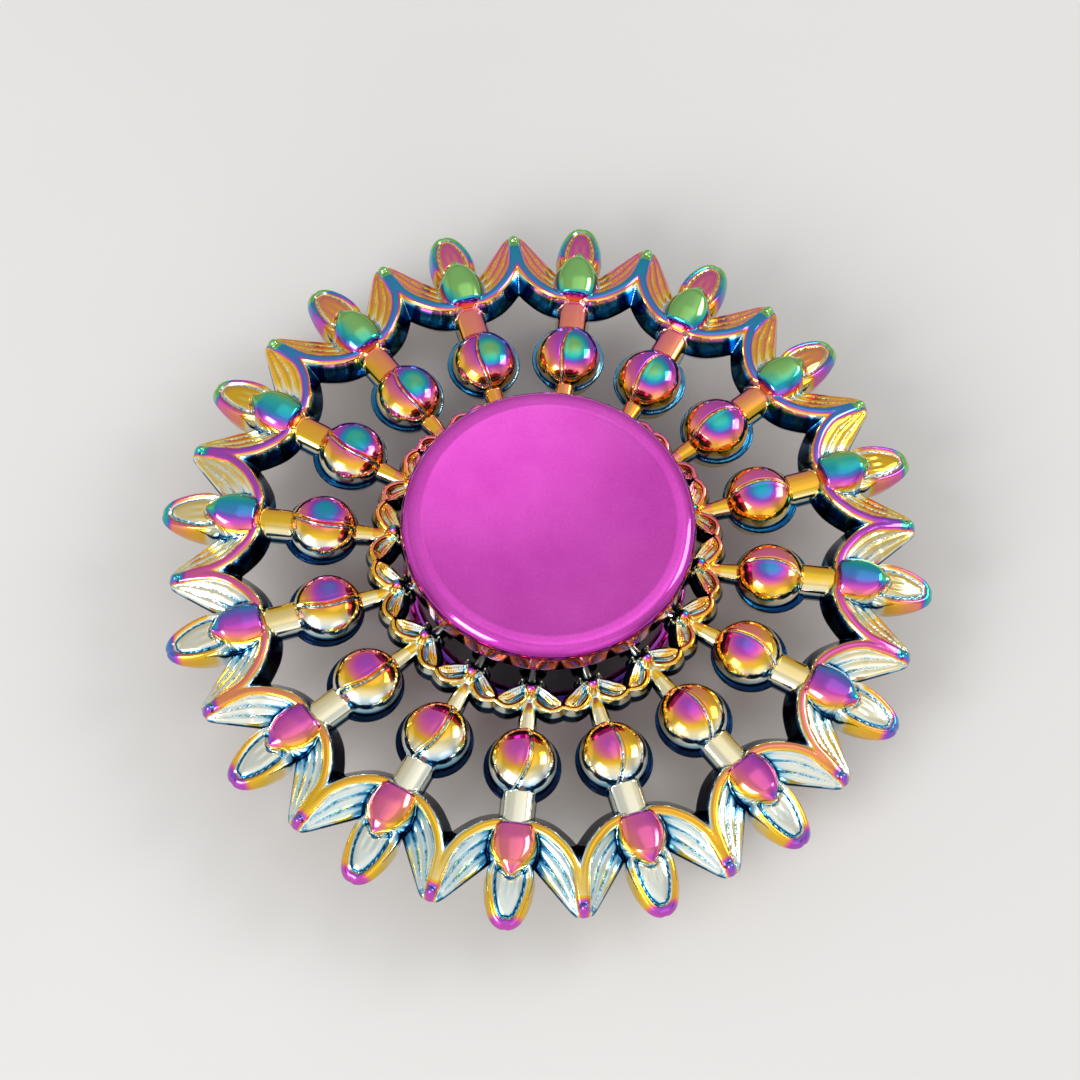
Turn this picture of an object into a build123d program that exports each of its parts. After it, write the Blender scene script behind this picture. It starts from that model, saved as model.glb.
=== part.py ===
from build123d import *
import os
from math import sin, cos, radians, pi

os.makedirs("parts", exist_ok=True)

# Hand spinner: a die-cast, mirror-symmetric mandala rotor pressed on a 608 ball
# bearing, with two dished finger caps that screw together through the inner race.
# Units are millimetres. Origin: centre of the ball bearing. +Z: spin axis.
# One spoke of the rotor lies along +X, and the others every 22.5 degrees.

# ---------------------------------------------------------------- rotor
SPOKES = 16
PITCH_ANGLE = 360.0 / SPOKES
HALF_PITCH = PITCH_ANGLE / 2
TIP_R = 35.4                      # petal tips, half of the overall diameter

HUB_BORE_R = 11.0                 # bearing seat
HUB_OUTER_R = 12.4
HUB_HALF_T = 3.5

LACE_HALF_T = 1.6
BEAD_TOP_Z = 2.1
BEAD_R = 0.85
LACE_IN_R = 13.55
LACE_BAND_R = 15.1
LACE_LOBE_R = 1.3                 # scallop radius of one small leaf
LACE_LOBE_AT = 14.7
LACE_LOBE_ANGLE = 6.4             # each leaf's angle off its spoke
NECK_IN_R = 0.9                   # inner neck radius
BUD_START = 17.6                  # face where the neck meets the bud
BUD_END = 25.0                    # face where the neck meets the lotus rim
NECK_OUT_R = 1.4

NOTCH_PARTING_R = 28.15           # window corner on the parting plane
RIDGE_Z = 2.05
WING_TIP_R = 33.95
WING_TIP_Z = 1.05
SPLIT_GAP = 0.02                  # hairline between two neighbouring rim units

# ---------------------------------------------------------------- bearing 608
RACE_BORE_R = 4.0
RACE_OUT_R = 11.0
RACE_HALF_W = 3.5
BALLS = 7
BALL_R = 3.969 / 2
BALL_PITCH_R = 7.5
GROOVE_R = 2.01                   # raceway radius, 0.026 clear of the ball
INNER_LAND_R = 6.05
OUTER_LAND_R = 8.95
SHIELD_SEAT_R = 9.55
SHIELD_SEAT_Z = 2.80
SHIELD_T = 0.25
SHIELD_IN_R = 6.35
SNAP_T = 0.20
SNAP_GROOVE_R = 9.80
SNAP_OUT_R = 9.77
SNAP_IN_R = 9.00

CAGE_IN_R = 6.50
CAGE_OUT_R = 8.50
CAGE_T = 0.40
POCKET_IN_R = 2.05
POCKET_OUT_R = 2.42
RIVET_R = 0.40
RIVET_HEAD_R = 0.72
RIVET_HEAD_T = 0.28

# ---------------------------------------------------------------- caps
CAP_R = 13.2
CAP_BOTTOM_Z = 4.15
CAP_TOP_Z = 7.8
CAP_WALL_TOP_Z = 6.55
LAND_IN_R = 11.35
LAND_OUT_R = 11.95
DISH_DEPTH = 1.0
SHOULDER_R = 5.4
POST_R = 3.98
SCREW_R = 2.48
SCREW_BORE_R = 2.52

dish_sphere_r = (LAND_IN_R**2 + DISH_DEPTH**2) / (2 * DISH_DEPTH)


def out(name, node):
    name.part.label = node
    export_step(name.part, "parts/" + node + ".step")


# ================================================================ bearing races
with BuildPart() as bearing_outer_race:
    with BuildSketch(Plane.XZ):
        with BuildLine():
            Polyline(
                (OUTER_LAND_R, -SHIELD_SEAT_Z), (OUTER_LAND_R, SHIELD_SEAT_Z),
                (SHIELD_SEAT_R, SHIELD_SEAT_Z),
                (SHIELD_SEAT_R, SHIELD_SEAT_Z + SHIELD_T),
                (SNAP_GROOVE_R, SHIELD_SEAT_Z + SHIELD_T),
                (SNAP_GROOVE_R, SHIELD_SEAT_Z + SHIELD_T + SNAP_T + 0.02),
                (SHIELD_SEAT_R, SHIELD_SEAT_Z + SHIELD_T + SNAP_T + 0.02),
                (SHIELD_SEAT_R, RACE_HALF_W),
                (RACE_OUT_R - 0.3, RACE_HALF_W), (RACE_OUT_R, RACE_HALF_W - 0.3),
                (RACE_OUT_R, -RACE_HALF_W + 0.3), (RACE_OUT_R - 0.3, -RACE_HALF_W),
                (SHIELD_SEAT_R, -RACE_HALF_W),
                (SHIELD_SEAT_R, -SHIELD_SEAT_Z - SHIELD_T - SNAP_T - 0.02),
                (SNAP_GROOVE_R, -SHIELD_SEAT_Z - SHIELD_T - SNAP_T - 0.02),
                (SNAP_GROOVE_R, -SHIELD_SEAT_Z - SHIELD_T),
                (SHIELD_SEAT_R, -SHIELD_SEAT_Z - SHIELD_T),
                (SHIELD_SEAT_R, -SHIELD_SEAT_Z),
                close=True,
            )
        make_face()
        with Locations((BALL_PITCH_R, 0)):
            Circle(GROOVE_R, mode=Mode.SUBTRACT)
    revolve(axis=Axis.Z)
out(bearing_outer_race, "bearing_outer_race")

with BuildPart() as bearing_inner_race:
    with BuildSketch(Plane.XZ):
        with BuildLine():
            Polyline(
                (RACE_BORE_R, -RACE_HALF_W + 0.3), (RACE_BORE_R, RACE_HALF_W - 0.3),
                (RACE_BORE_R + 0.3, RACE_HALF_W), (INNER_LAND_R - 0.15, RACE_HALF_W),
                (INNER_LAND_R, RACE_HALF_W - 0.15), (INNER_LAND_R, -RACE_HALF_W + 0.15),
                (INNER_LAND_R - 0.15, -RACE_HALF_W), (RACE_BORE_R + 0.3, -RACE_HALF_W),
                close=True,
            )
        make_face()
        with Locations((BALL_PITCH_R, 0)):
            Circle(GROOVE_R, mode=Mode.SUBTRACT)
    revolve(axis=Axis.Z)
out(bearing_inner_race, "bearing_inner_race")

# ================================================================ balls
for k in range(BALLS):
    a = radians(360.0 / BALLS * k)
    with BuildPart() as ball:
        with Locations((BALL_PITCH_R * cos(a), BALL_PITCH_R * sin(a), 0)):
            Sphere(BALL_R)
    out(ball, "bearing_ball_%d" % (k + 1))

# ================================================================ ribbon cage
for side, node in ((1, "cage_upper_half"), (-1, "cage_lower_half")):
    with BuildPart() as cage_half:
        # flat ribbon between the balls
        with BuildSketch(Plane.XY):
            Circle(CAGE_OUT_R)
            Circle(CAGE_IN_R, mode=Mode.SUBTRACT)
        extrude(amount=side * CAGE_T)
        # half-round pockets over the balls, trimmed to the ribbon's width
        with PolarLocations(BALL_PITCH_R, BALLS):
            Sphere(POCKET_OUT_R)
        with BuildSketch(Plane.XY):
            Circle(CAGE_OUT_R)
            Circle(CAGE_IN_R, mode=Mode.SUBTRACT)
        extrude(amount=side * 3, mode=Mode.INTERSECT)
        with PolarLocations(BALL_PITCH_R, BALLS):
            Sphere(POCKET_IN_R, mode=Mode.SUBTRACT)
        with PolarLocations(BALL_PITCH_R, BALLS, start_angle=180.0 / BALLS):
            Cylinder(RIVET_R, 4, mode=Mode.SUBTRACT)
    out(cage_half, node)

with BuildPart() as cage_rivets:
    with BuildPart(mode=Mode.PRIVATE) as rivet:
        Cylinder(RIVET_R, 2 * CAGE_T)
        for s in (1, -1):
            with BuildSketch(Plane.XY.offset(s * CAGE_T)):
                Circle(RIVET_HEAD_R)
            extrude(amount=s * RIVET_HEAD_T, taper=28)
    with PolarLocations(BALL_PITCH_R, BALLS, start_angle=180.0 / BALLS):
        add(rivet.part)
out(cage_rivets, "cage_rivets")

# ================================================================ shields and snap rings
for side, node in ((1, "top_shield"), (-1, "bottom_shield")):
    z0 = SHIELD_SEAT_Z
    with BuildPart() as shield:
        with BuildSketch(Plane.XZ):
            with BuildLine():
                # flat outer seat, then a shallow step outwards nearer the bore
                Polyline(
                    (SHIELD_SEAT_R - 0.02, side * z0), (8.7, side * z0),
                    (8.5, side * (z0 + 0.22)), (SHIELD_IN_R, side * (z0 + 0.22)),
                    (SHIELD_IN_R, side * (z0 + 0.22 + SHIELD_T)),
                    (8.35, side * (z0 + 0.22 + SHIELD_T)), (8.6, side * (z0 + SHIELD_T)),
                    (SHIELD_SEAT_R - 0.02, side * (z0 + SHIELD_T)),
                    close=True,
                )
            make_face()
        revolve(axis=Axis.Z)
    out(shield, node)

for side, node in ((1, "top_shield_snap_ring"), (-1, "bottom_shield_snap_ring")):
    zc = side * (SHIELD_SEAT_Z + SHIELD_T)
    with BuildPart() as snap_ring:
        with BuildSketch(Plane.XY.offset(zc)):
            Circle(SNAP_OUT_R)
            Circle(SNAP_IN_R, mode=Mode.SUBTRACT)
            # open gap of the split ring, where pliers or a pick reach it
            with Locations((0, SNAP_OUT_R)):
                Rectangle(2.2, 3.0, mode=Mode.SUBTRACT)
        extrude(amount=side * SNAP_T)
    out(snap_ring, node)

# ================================================================ finger caps
def cap_profile(side):
    # right half of a cap's section, from the axis outwards, as (r, z) with z signed by side
    s = side
    top_mid_z = CAP_TOP_Z - DISH_DEPTH
    with BuildLine() as line:
        ThreePointArc(
            (0, s * top_mid_z),
            (LAND_IN_R / 2, s * (top_mid_z + dish_sphere_r - (dish_sphere_r**2 - (LAND_IN_R / 2) ** 2) ** 0.5)),
            (LAND_IN_R, s * CAP_TOP_Z),
        )
        Line((LAND_IN_R, s * CAP_TOP_Z), (LAND_OUT_R, s * CAP_TOP_Z))
        RadiusArc((LAND_OUT_R, s * CAP_TOP_Z), (CAP_R, s * CAP_WALL_TOP_Z), s * (CAP_R - LAND_OUT_R))
        Line((CAP_R, s * CAP_WALL_TOP_Z), (CAP_R, s * (CAP_BOTTOM_Z + 0.4)))
        RadiusArc((CAP_R, s * (CAP_BOTTOM_Z + 0.4)), (CAP_R - 0.4, s * CAP_BOTTOM_Z), s * 0.4)
        Polyline(
            (CAP_R - 0.4, s * CAP_BOTTOM_Z), (SHOULDER_R + 0.35, s * CAP_BOTTOM_Z),
            (SHOULDER_R, s * (CAP_BOTTOM_Z - 0.3)), (SHOULDER_R, s * RACE_HALF_W),
            (POST_R, s * RACE_HALF_W),
        )
    return line.line


with BuildPart() as top_cap:
    with BuildSketch(Plane.XZ):
        with BuildLine():
            add(cap_profile(1))
            Polyline((POST_R, RACE_HALF_W), (POST_R, 0.35), (POST_R - 0.3, 0.05), (0, 0.05),
                     (0, CAP_TOP_Z - DISH_DEPTH))
        make_face()
    revolve(axis=Axis.Z)
    # threaded socket for the lower cap's screw
    with BuildSketch(Plane.XY.offset(0.05)):
        Circle(SCREW_BORE_R)
    extrude(amount=4.2, mode=Mode.SUBTRACT)
out(top_cap, "top_cap")

with BuildPart() as bottom_cap:
    with BuildSketch(Plane.XZ):
        with BuildLine():
            add(cap_profile(-1))
            Polyline((POST_R, -RACE_HALF_W), (POST_R, -0.35), (POST_R - 0.3, -0.05),
                     (SCREW_R, -0.05), (SCREW_R, 3.5), (SCREW_R - 0.4, 3.9), (0, 3.9),
                     (0, -CAP_TOP_Z + DISH_DEPTH))
        make_face()
    revolve(axis=Axis.Z)
out(bottom_cap, "bottom_cap")

# ================================================================ rotor casting
# The hub, lace ring, buds and lotus rim are one casting on the bench. They are
# kept as four groups that meet face to face.
with BuildPart() as rotor_hub_ring:
    with BuildSketch(Plane.XZ):
        with BuildLine():
            Polyline(
                (HUB_BORE_R, -HUB_HALF_T + 0.25), (HUB_BORE_R, HUB_HALF_T - 0.25),
                (HUB_BORE_R + 0.25, HUB_HALF_T), (HUB_OUTER_R - 0.35, HUB_HALF_T),
                (HUB_OUTER_R, HUB_HALF_T - 0.35), (HUB_OUTER_R, -HUB_HALF_T + 0.35),
                (HUB_OUTER_R - 0.35, -HUB_HALF_T), (HUB_BORE_R + 0.25, -HUB_HALF_T),
                close=True,
            )
        make_face()
    revolve(axis=Axis.Z)
out(rotor_hub_ring, "rotor_hub_ring")

with BuildPart() as rotor_lace_ring:
    # scalloped band of small leaves, two for each spoke
    with BuildSketch(Plane.XY.offset(-LACE_HALF_T)):
        Circle(LACE_BAND_R)
        for s in (1, -1):
            with PolarLocations(LACE_LOBE_AT, SPOKES, start_angle=s * LACE_LOBE_ANGLE):
                Circle(LACE_LOBE_R)
        Circle(LACE_IN_R, mode=Mode.SUBTRACT)
    extrude(amount=2 * LACE_HALF_T)
    # scooped leaf faces, above and below
    for s in (1, -1):
        for zs in (1, -1):
            with PolarLocations(LACE_LOBE_AT - 0.02, SPOKES, start_angle=s * (LACE_LOBE_ANGLE - 0.6)):
                with Locations((0, 0, zs * (LACE_HALF_T + 0.75))):
                    Sphere(1.15, mode=Mode.SUBTRACT)
    # bridges to the hub ring, a round bead on each, and the inner necks
    with PolarLocations(0, SPOKES):
        with Locations((13.2, 0, 0)):
            Box(2.4, 1.0, 1.8)
        with Locations((13.95, 0, BEAD_TOP_Z - BEAD_R), (13.95, 0, BEAD_R - BEAD_TOP_Z)):
            Sphere(BEAD_R)
        with Locations((13.95, 0, 0)):
            Cylinder(BEAD_R, 2 * (BEAD_TOP_Z - BEAD_R))
        with Locations((16.3, 0, 0)):
            Cylinder(NECK_IN_R, 2 * (BUD_START - 16.3), rotation=(0, 90, 0))
    # trim to the hub ring's outer wall and round the rim of the band
    Cylinder(HUB_OUTER_R, 10, mode=Mode.SUBTRACT)
out(rotor_lace_ring, "rotor_lace_ring")

with BuildPart() as rotor_spoke_buds:
    with BuildPart(mode=Mode.PRIVATE) as bud:
        with BuildSketch(Plane.XY):
            with BuildLine():
                Line((BUD_START, 0), (BUD_START, NECK_IN_R))
                Spline((BUD_START, NECK_IN_R), (18.4, 2.05), (20.5, 2.9), (22.4, 2.3), (23.9, NECK_OUT_R),
                       tangents=((0.35, 1.0), (1.0, -0.05)))
                Polyline((23.9, NECK_OUT_R), (BUD_END, NECK_OUT_R), (BUD_END, 0), (BUD_START, 0))
            make_face()
        revolve(axis=Axis.X)
        # flared parting-line flange round the bud
        with BuildSketch(Plane.XY.offset(-0.3)):
            with Locations((20.7, 0)):
                Ellipse(3.35, 3.35)
            with Locations((17.6 - 3, 0)):
                Rectangle(6, 6, mode=Mode.SUBTRACT)
        extrude(amount=0.6)
    with PolarLocations(0, SPOKES):
        add(bud.part)
out(rotor_spoke_buds, "rotor_spoke_buds")

ha = radians(HALF_PITCH)


def at_mid(r, gap=SPLIT_GAP):
    # point at radius r on the plane half-way between two spokes, set back by half the gap
    return (r * cos(ha) + gap / 2 * sin(ha), r * sin(ha) - gap / 2 * cos(ha))


wing_low = [(25.7, -0.0), (25.9, 1.4), (26.15, 2.6), (26.62, 4.19), at_mid(NOTCH_PARTING_R), at_mid(WING_TIP_R),
            (33.62, 5.72), (32.05, 4.12), (30.7, 2.6), (30.4, -0.0)]
wing_high = [(26.7, -0.0), (26.8, 1.4), (27.15, 2.75), (28.05, 4.3), at_mid(29.6), at_mid(33.3),
             (32.75, 6.1), (30.7, 5.2), (28.9, 3.6), (28.6, -0.0)]

with BuildPart() as rotor_lotus_rim:
    with BuildPart(mode=Mode.PRIVATE) as lotus:
        # a wing each side: a ridge that falls to the parting line inwards and outwards
        with BuildSketch(Plane.XY):
            with BuildLine():
                Polyline(*wing_low, close=True)
            make_face()
        with BuildSketch(Plane.XY.offset(2.25)):
            with BuildLine():
                Polyline(*wing_high, close=True)
            make_face()
        loft(ruled=True)
        # the ridge drops towards the wing tip
        with BuildSketch(Plane.XZ):
            with BuildLine():
                Polyline((24, 2.3), (27.5, 2.2), (29.7, RIDGE_Z), (31.8, 1.7), (33.9, WING_TIP_Z), (38, 0.6), (38, 6), (24, 6),
                         close=True)
            make_face()
        revolve(axis=Axis.Z, mode=Mode.SUBTRACT)
        mirror(about=Plane.XZ)
        mirror(about=Plane.XY)
        # thin parting flange keeps the outer edges blunt
        for s in (1, -1):
            with BuildSketch(Plane.XY.offset(-0.3)):
                with BuildLine():
                    Polyline(*[(x, s * y) for x, y in wing_low], close=True)
                make_face()
            extrude(amount=0.6)
        # neck stub
        with BuildSketch(Plane.YZ.offset(BUD_END)):
            Circle(NECK_OUT_R)
        extrude(amount=2.2)
        # centre petal
        for u, v, z in ((29.0, 1.75, 1.8), (31.0, 2.14, 1.55), (32.4, 2.06, 1.3), (33.6, 1.8, 1.1), (34.5, 1.42, 0.9), (35.05, 1.02, 0.7),
                        (TIP_R, 0.6, 0.45)):
            with BuildSketch(Plane.YZ.offset(u)):
                Ellipse(v, z)
        loft()
        # leaf-shaped scoop in the petal, above and below
        for s in (1, -1):
            with BuildSketch(Plane.XY.offset(s * 0.7)):
                with BuildLine():
                    Spline((34.3, 0), (33.0, 1.15), (31.4, 1.55), (30.2, 1.3), tangents=((-0.3, 1), (-1, -0.4)))
                    Line((30.2, 1.3), (30.2, -1.3))
                    Spline((30.2, -1.3), (31.4, -1.55), (33.0, -1.15), (34.3, 0), tangents=((1, -0.4), (0.3, 1)))
                make_face()
            extrude(amount=s * 3, mode=Mode.SUBTRACT)
        # egg-shaped boss with its point outwards
        for u, v, z in ((26.35, 1.45, 2.3), (27.1, 1.85, 2.8), (28.3, 2.05, 3.05), (29.5, 1.8, 3.0), (30.4, 1.2, 2.75),
                        (31.05, 0.45, 2.2)):
            with BuildSketch(Plane.YZ.offset(u)):
                Ellipse(v, z)
        loft()
    with PolarLocations(0, SPOKES):
        add(lotus.part)
out(rotor_lotus_rim, "rotor_lotus_rim")
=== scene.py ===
import math

import bpy
import numpy as np
from mathutils import Matrix, Vector


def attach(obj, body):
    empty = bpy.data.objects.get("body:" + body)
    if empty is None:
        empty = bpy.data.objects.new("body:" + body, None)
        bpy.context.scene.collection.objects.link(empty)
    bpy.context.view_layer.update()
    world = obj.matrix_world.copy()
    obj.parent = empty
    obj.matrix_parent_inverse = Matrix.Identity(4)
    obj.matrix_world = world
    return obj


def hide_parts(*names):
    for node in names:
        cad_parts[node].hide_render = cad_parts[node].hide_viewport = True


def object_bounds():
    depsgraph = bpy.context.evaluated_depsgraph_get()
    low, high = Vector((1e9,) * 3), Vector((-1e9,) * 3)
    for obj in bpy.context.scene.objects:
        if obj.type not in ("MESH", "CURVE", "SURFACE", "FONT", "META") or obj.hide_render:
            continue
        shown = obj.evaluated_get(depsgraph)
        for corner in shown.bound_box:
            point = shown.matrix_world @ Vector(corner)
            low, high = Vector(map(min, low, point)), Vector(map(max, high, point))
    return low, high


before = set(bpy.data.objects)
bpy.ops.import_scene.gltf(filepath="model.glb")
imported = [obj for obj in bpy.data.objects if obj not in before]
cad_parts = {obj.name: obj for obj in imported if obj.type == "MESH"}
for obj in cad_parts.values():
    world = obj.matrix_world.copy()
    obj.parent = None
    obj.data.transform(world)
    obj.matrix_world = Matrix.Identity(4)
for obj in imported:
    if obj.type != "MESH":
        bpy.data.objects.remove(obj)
cad_lo, cad_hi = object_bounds()
CAD_BOX = [list(cad_lo), list(cad_hi)]

MM = 0.001
SPOKES = 16
PA = 2 * math.pi / SPOKES

# ------------------------------------------------------------------ camera
AZ, EL, ROLL = math.radians(2.186), math.radians(64.505), math.radians(4.056)
DIST, LENS = 210.19 * MM, 76.22
LOOK = Vector((-0.721 * MM, 1.438 * MM, 0.0))

back = Vector((math.sin(AZ) * math.cos(EL), -math.cos(AZ) * math.cos(EL), math.sin(EL)))
right = Vector((math.cos(AZ), math.sin(AZ), 0.0))
up = back.cross(right)
cr, sr = math.cos(ROLL), math.sin(ROLL)
cam_x = right * cr + up * sr
cam_y = up * cr - right * sr
cam_data = bpy.data.cameras.new("camera")
cam = bpy.data.objects.new("camera", cam_data)
bpy.context.scene.collection.objects.link(cam)
m = Matrix((cam_x, cam_y, back)).transposed().to_4x4()
m.translation = LOOK + back * DIST
cam.matrix_world = m
cam_data.sensor_width = 36.0
cam_data.lens = LENS
cam_data.clip_start, cam_data.clip_end = 0.005, 20.0
bpy.context.scene.camera = cam


# ------------------------------------------------------------------ node helpers
def new_mat(name):
    mat = bpy.data.materials.new(name)
    mat.use_nodes = True
    nt = mat.node_tree
    return mat, nt, nt.nodes["Principled BSDF"]


def node(nt, kind, **kw):
    n = nt.nodes.new(kind)
    for k, v in kw.items():
        setattr(n, k, v)
    return n


def math_node(nt, op, a, b=None, c=None, clamp=False):
    n = nt.nodes.new("ShaderNodeMath")
    n.operation = op
    n.use_clamp = clamp
    for i, x in enumerate((a, b, c)):
        if x is None:
            continue
        if isinstance(x, (int, float)):
            n.inputs[i].default_value = x
        else:
            nt.links.new(x, n.inputs[i])
    return n.outputs[0]


def ramp(nt, fac, stops, mode="EASE"):
    n = nt.nodes.new("ShaderNodeValToRGB")
    n.color_ramp.interpolation = mode
    els = n.color_ramp.elements
    while len(els) > 2:
        els.remove(els[-1])
    els[0].position, els[0].color = stops[0][0], (*stops[0][1], 1)
    els[1].position, els[1].color = stops[-1][0], (*stops[-1][1], 1)
    for p, c in stops[1:-1]:
        e = els.new(p)
        e.color = (*c, 1)
    nt.links.new(fac, n.inputs[0])
    return n.outputs[0]


def noise(nt, vec, scale, detail=3.0, rough=0.55, out="Fac"):
    n = nt.nodes.new("ShaderNodeTexNoise")
    n.inputs["Scale"].default_value = scale
    n.inputs["Detail"].default_value = detail
    n.inputs["Roughness"].default_value = rough
    nt.links.new(vec, n.inputs["Vector"])
    return n.outputs[out]


def bump(nt, height, strength, distance):
    n = nt.nodes.new("ShaderNodeBump")
    n.inputs["Strength"].default_value = strength
    n.inputs["Distance"].default_value = distance
    nt.links.new(height, n.inputs["Height"])
    return n.outputs[0]


# ------------------------------------------------------------------ materials
FILM = [
    (0.00, (0.004, 0.010, 0.030)),
    (0.08, (0.004, 0.030, 0.100)),
    (0.17, (0.010, 0.130, 0.300)),
    (0.25, (0.120, 0.400, 0.600)),
    (0.33, (0.600, 0.760, 0.800)),
    (0.42, (0.820, 0.820, 0.700)),
    (0.50, (0.860, 0.740, 0.400)),
    (0.57, (0.840, 0.540, 0.040)),
    (0.64, (0.880, 0.420, 0.050)),
    (0.70, (0.860, 0.250, 0.200)),
    (0.76, (0.760, 0.140, 0.380)),
    (0.81, (0.560, 0.080, 0.540)),
    (0.85, (0.240, 0.110, 0.600)),
    (0.885, (0.070, 0.250, 0.620)),
    (0.92, (0.020, 0.360, 0.480)),
    (0.96, (0.060, 0.520, 0.380)),
    (1.00, (0.260, 0.560, 0.170)),
]


def rainbow_plating(shaped):
    """Polished die casting under a thin interference film, its colour running thicker on crests and at the far side.
    The dark navy on steep flanks and in recesses is painted shade.
    """
    mat, nt, bsdf = new_mat("rainbow_plating" if shaped else "rainbow_plating_hub_painted_shade")
    tc = node(nt, "ShaderNodeTexCoord")
    sep = node(nt, "ShaderNodeSeparateXYZ")
    nt.links.new(tc.outputs["Object"], sep.inputs[0])
    sepn = node(nt, "ShaderNodeSeparateXYZ")
    nt.links.new(tc.outputs["Normal"], sepn.inputs[0])
    z = math_node(nt, "ABSOLUTE", sep.outputs["Z"])
    # the film is the same on both faces: the source direction is mirrored below the parting line
    side = math_node(nt, "MULTIPLY", math_node(nt, "ABSOLUTE", sepn.outputs["Z"]), 0.954)
    lean = math_node(nt, "MULTIPLY", sepn.outputs["Y"], 0.30)
    if shaped:
        tilt = node(nt, "ShaderNodeAttribute")
        tilt.attribute_name = "tilt"
        lean = math_node(nt, "MULTIPLY", lean, tilt.outputs["Fac"])
    facing = math_node(nt, "ADD", side, lean)
    t = math_node(nt, "MULTIPLY_ADD", z, 195.0, 0.337)
    # painted shade: steep flanks slide toward the dark navy end of the film ramp, on top of the film's own shift with
    # slope
    t = math_node(nt, "ADD", t, math_node(nt, "MULTIPLY", math_node(nt, "SUBTRACT", facing, 1.0), 0.46))
    t = math_node(nt, "ADD", t, math_node(nt, "MULTIPLY", sep.outputs["Y"], 5.5))
    if shaped:
        extra = node(nt, "ShaderNodeAttribute")
        extra.attribute_name = "film_and_shade"
        t = math_node(nt, "ADD", t, extra.outputs["Fac"])
        curved = node(nt, "ShaderNodeAttribute")
        curved.attribute_name = "bend"
        y2 = math_node(nt, "MULTIPLY", sep.outputs["Y"], sep.outputs["Y"])
        t = math_node(nt, "ADD", t, math_node(nt, "MULTIPLY", curved.outputs["Fac"], y2))
    else:
        # painted shade: the hub ring sits under the caps, so its film is pushed toward the dark end of the ramp
        t = math_node(nt, "SUBTRACT", t, 0.45)
    cloud = noise(nt, tc.outputs["Object"], 90.0, 2.0)
    t = math_node(nt, "ADD", t, math_node(nt, "MULTIPLY", math_node(nt, "SUBTRACT", cloud, 0.5), 0.08))
    fine = noise(nt, tc.outputs["Object"], 900.0, 3.0)
    t = math_node(nt, "ADD", t, math_node(nt, "MULTIPLY", math_node(nt, "SUBTRACT", fine, 0.5), 0.03), clamp=True)
    nt.links.new(ramp(nt, t, FILM, "LINEAR"), bsdf.inputs["Base Color"])
    bsdf.inputs["Metallic"].default_value = 1.0
    nt.links.new(math_node(nt, "MULTIPLY_ADD", fine, 0.09, 0.075), bsdf.inputs["Roughness"])
    nt.links.new(bump(nt, noise(nt, tc.outputs["Object"], 520.0, 3.0), 0.10, 0.00008), bsdf.inputs["Normal"])
    return mat


def anodised():
    mat, nt, bsdf = new_mat("magenta_anodised")
    tc = node(nt, "ShaderNodeTexCoord")
    sep = node(nt, "ShaderNodeSeparateXYZ")
    nt.links.new(tc.outputs["Object"], sep.inputs[0])
    r2 = math_node(nt, "ADD", math_node(nt, "POWER", sep.outputs["X"], 2.0), math_node(nt, "POWER", sep.outputs["Y"], 2.0))
    r = math_node(nt, "SQRT", r2)
    # 1 inside the satin dish, 0 on the polished edge
    dish = math_node(nt, "MULTIPLY", math_node(nt, "SUBTRACT", 0.01145, r), 2600.0, clamp=True)
    cloud = noise(nt, tc.outputs["Object"], 140.0, 3.0)
    grain = noise(nt, tc.outputs["Object"], 5200.0, 2.0)
    shade = math_node(nt, "ADD", math_node(nt, "MULTIPLY", cloud, 0.6), math_node(nt, "MULTIPLY", grain, 0.4))
    colour = ramp(nt, shade, [(0.30, (0.700, 0.070, 0.560)), (0.5, (0.770, 0.095, 0.630)), (0.72, (0.840, 0.130, 0.700))], "LINEAR")
    sepn = node(nt, "ShaderNodeSeparateXYZ")
    nt.links.new(tc.outputs["Normal"], sepn.inputs[0])
    # painted shade: the cap's steep walls are darkened in their colour, standing in for the dark surroundings they face
    wall_shade_fac = math_node(nt, "MULTIPLY_ADD", math_node(nt, "ABSOLUTE", sepn.outputs["Z"]), 1.25, -0.25, clamp=True)
    painted_wall_shade = node(nt, "ShaderNodeMix", data_type="RGBA", blend_type="MULTIPLY")
    painted_wall_shade.inputs["Factor"].default_value = 1.0
    nt.links.new(colour, painted_wall_shade.inputs["A"])
    nt.links.new(ramp(nt, wall_shade_fac, [(0.0, (0.34, 0.24, 0.34)), (0.55, (0.62, 0.50, 0.62)), (1.0, (1.0, 1.0, 1.0))], "LINEAR"), painted_wall_shade.inputs["B"])
    nt.links.new(painted_wall_shade.outputs["Result"], bsdf.inputs["Base Color"])
    bsdf.inputs["Metallic"].default_value = 1.0
    rough = math_node(nt, "MULTIPLY_ADD", dish, 0.13, 0.06)
    rough = math_node(nt, "ADD", rough, math_node(nt, "MULTIPLY", grain, 0.05))
    nt.links.new(rough, bsdf.inputs["Roughness"])
    nt.links.new(bump(nt, grain, 0.05, 0.00003), bsdf.inputs["Normal"])
    return mat


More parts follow.
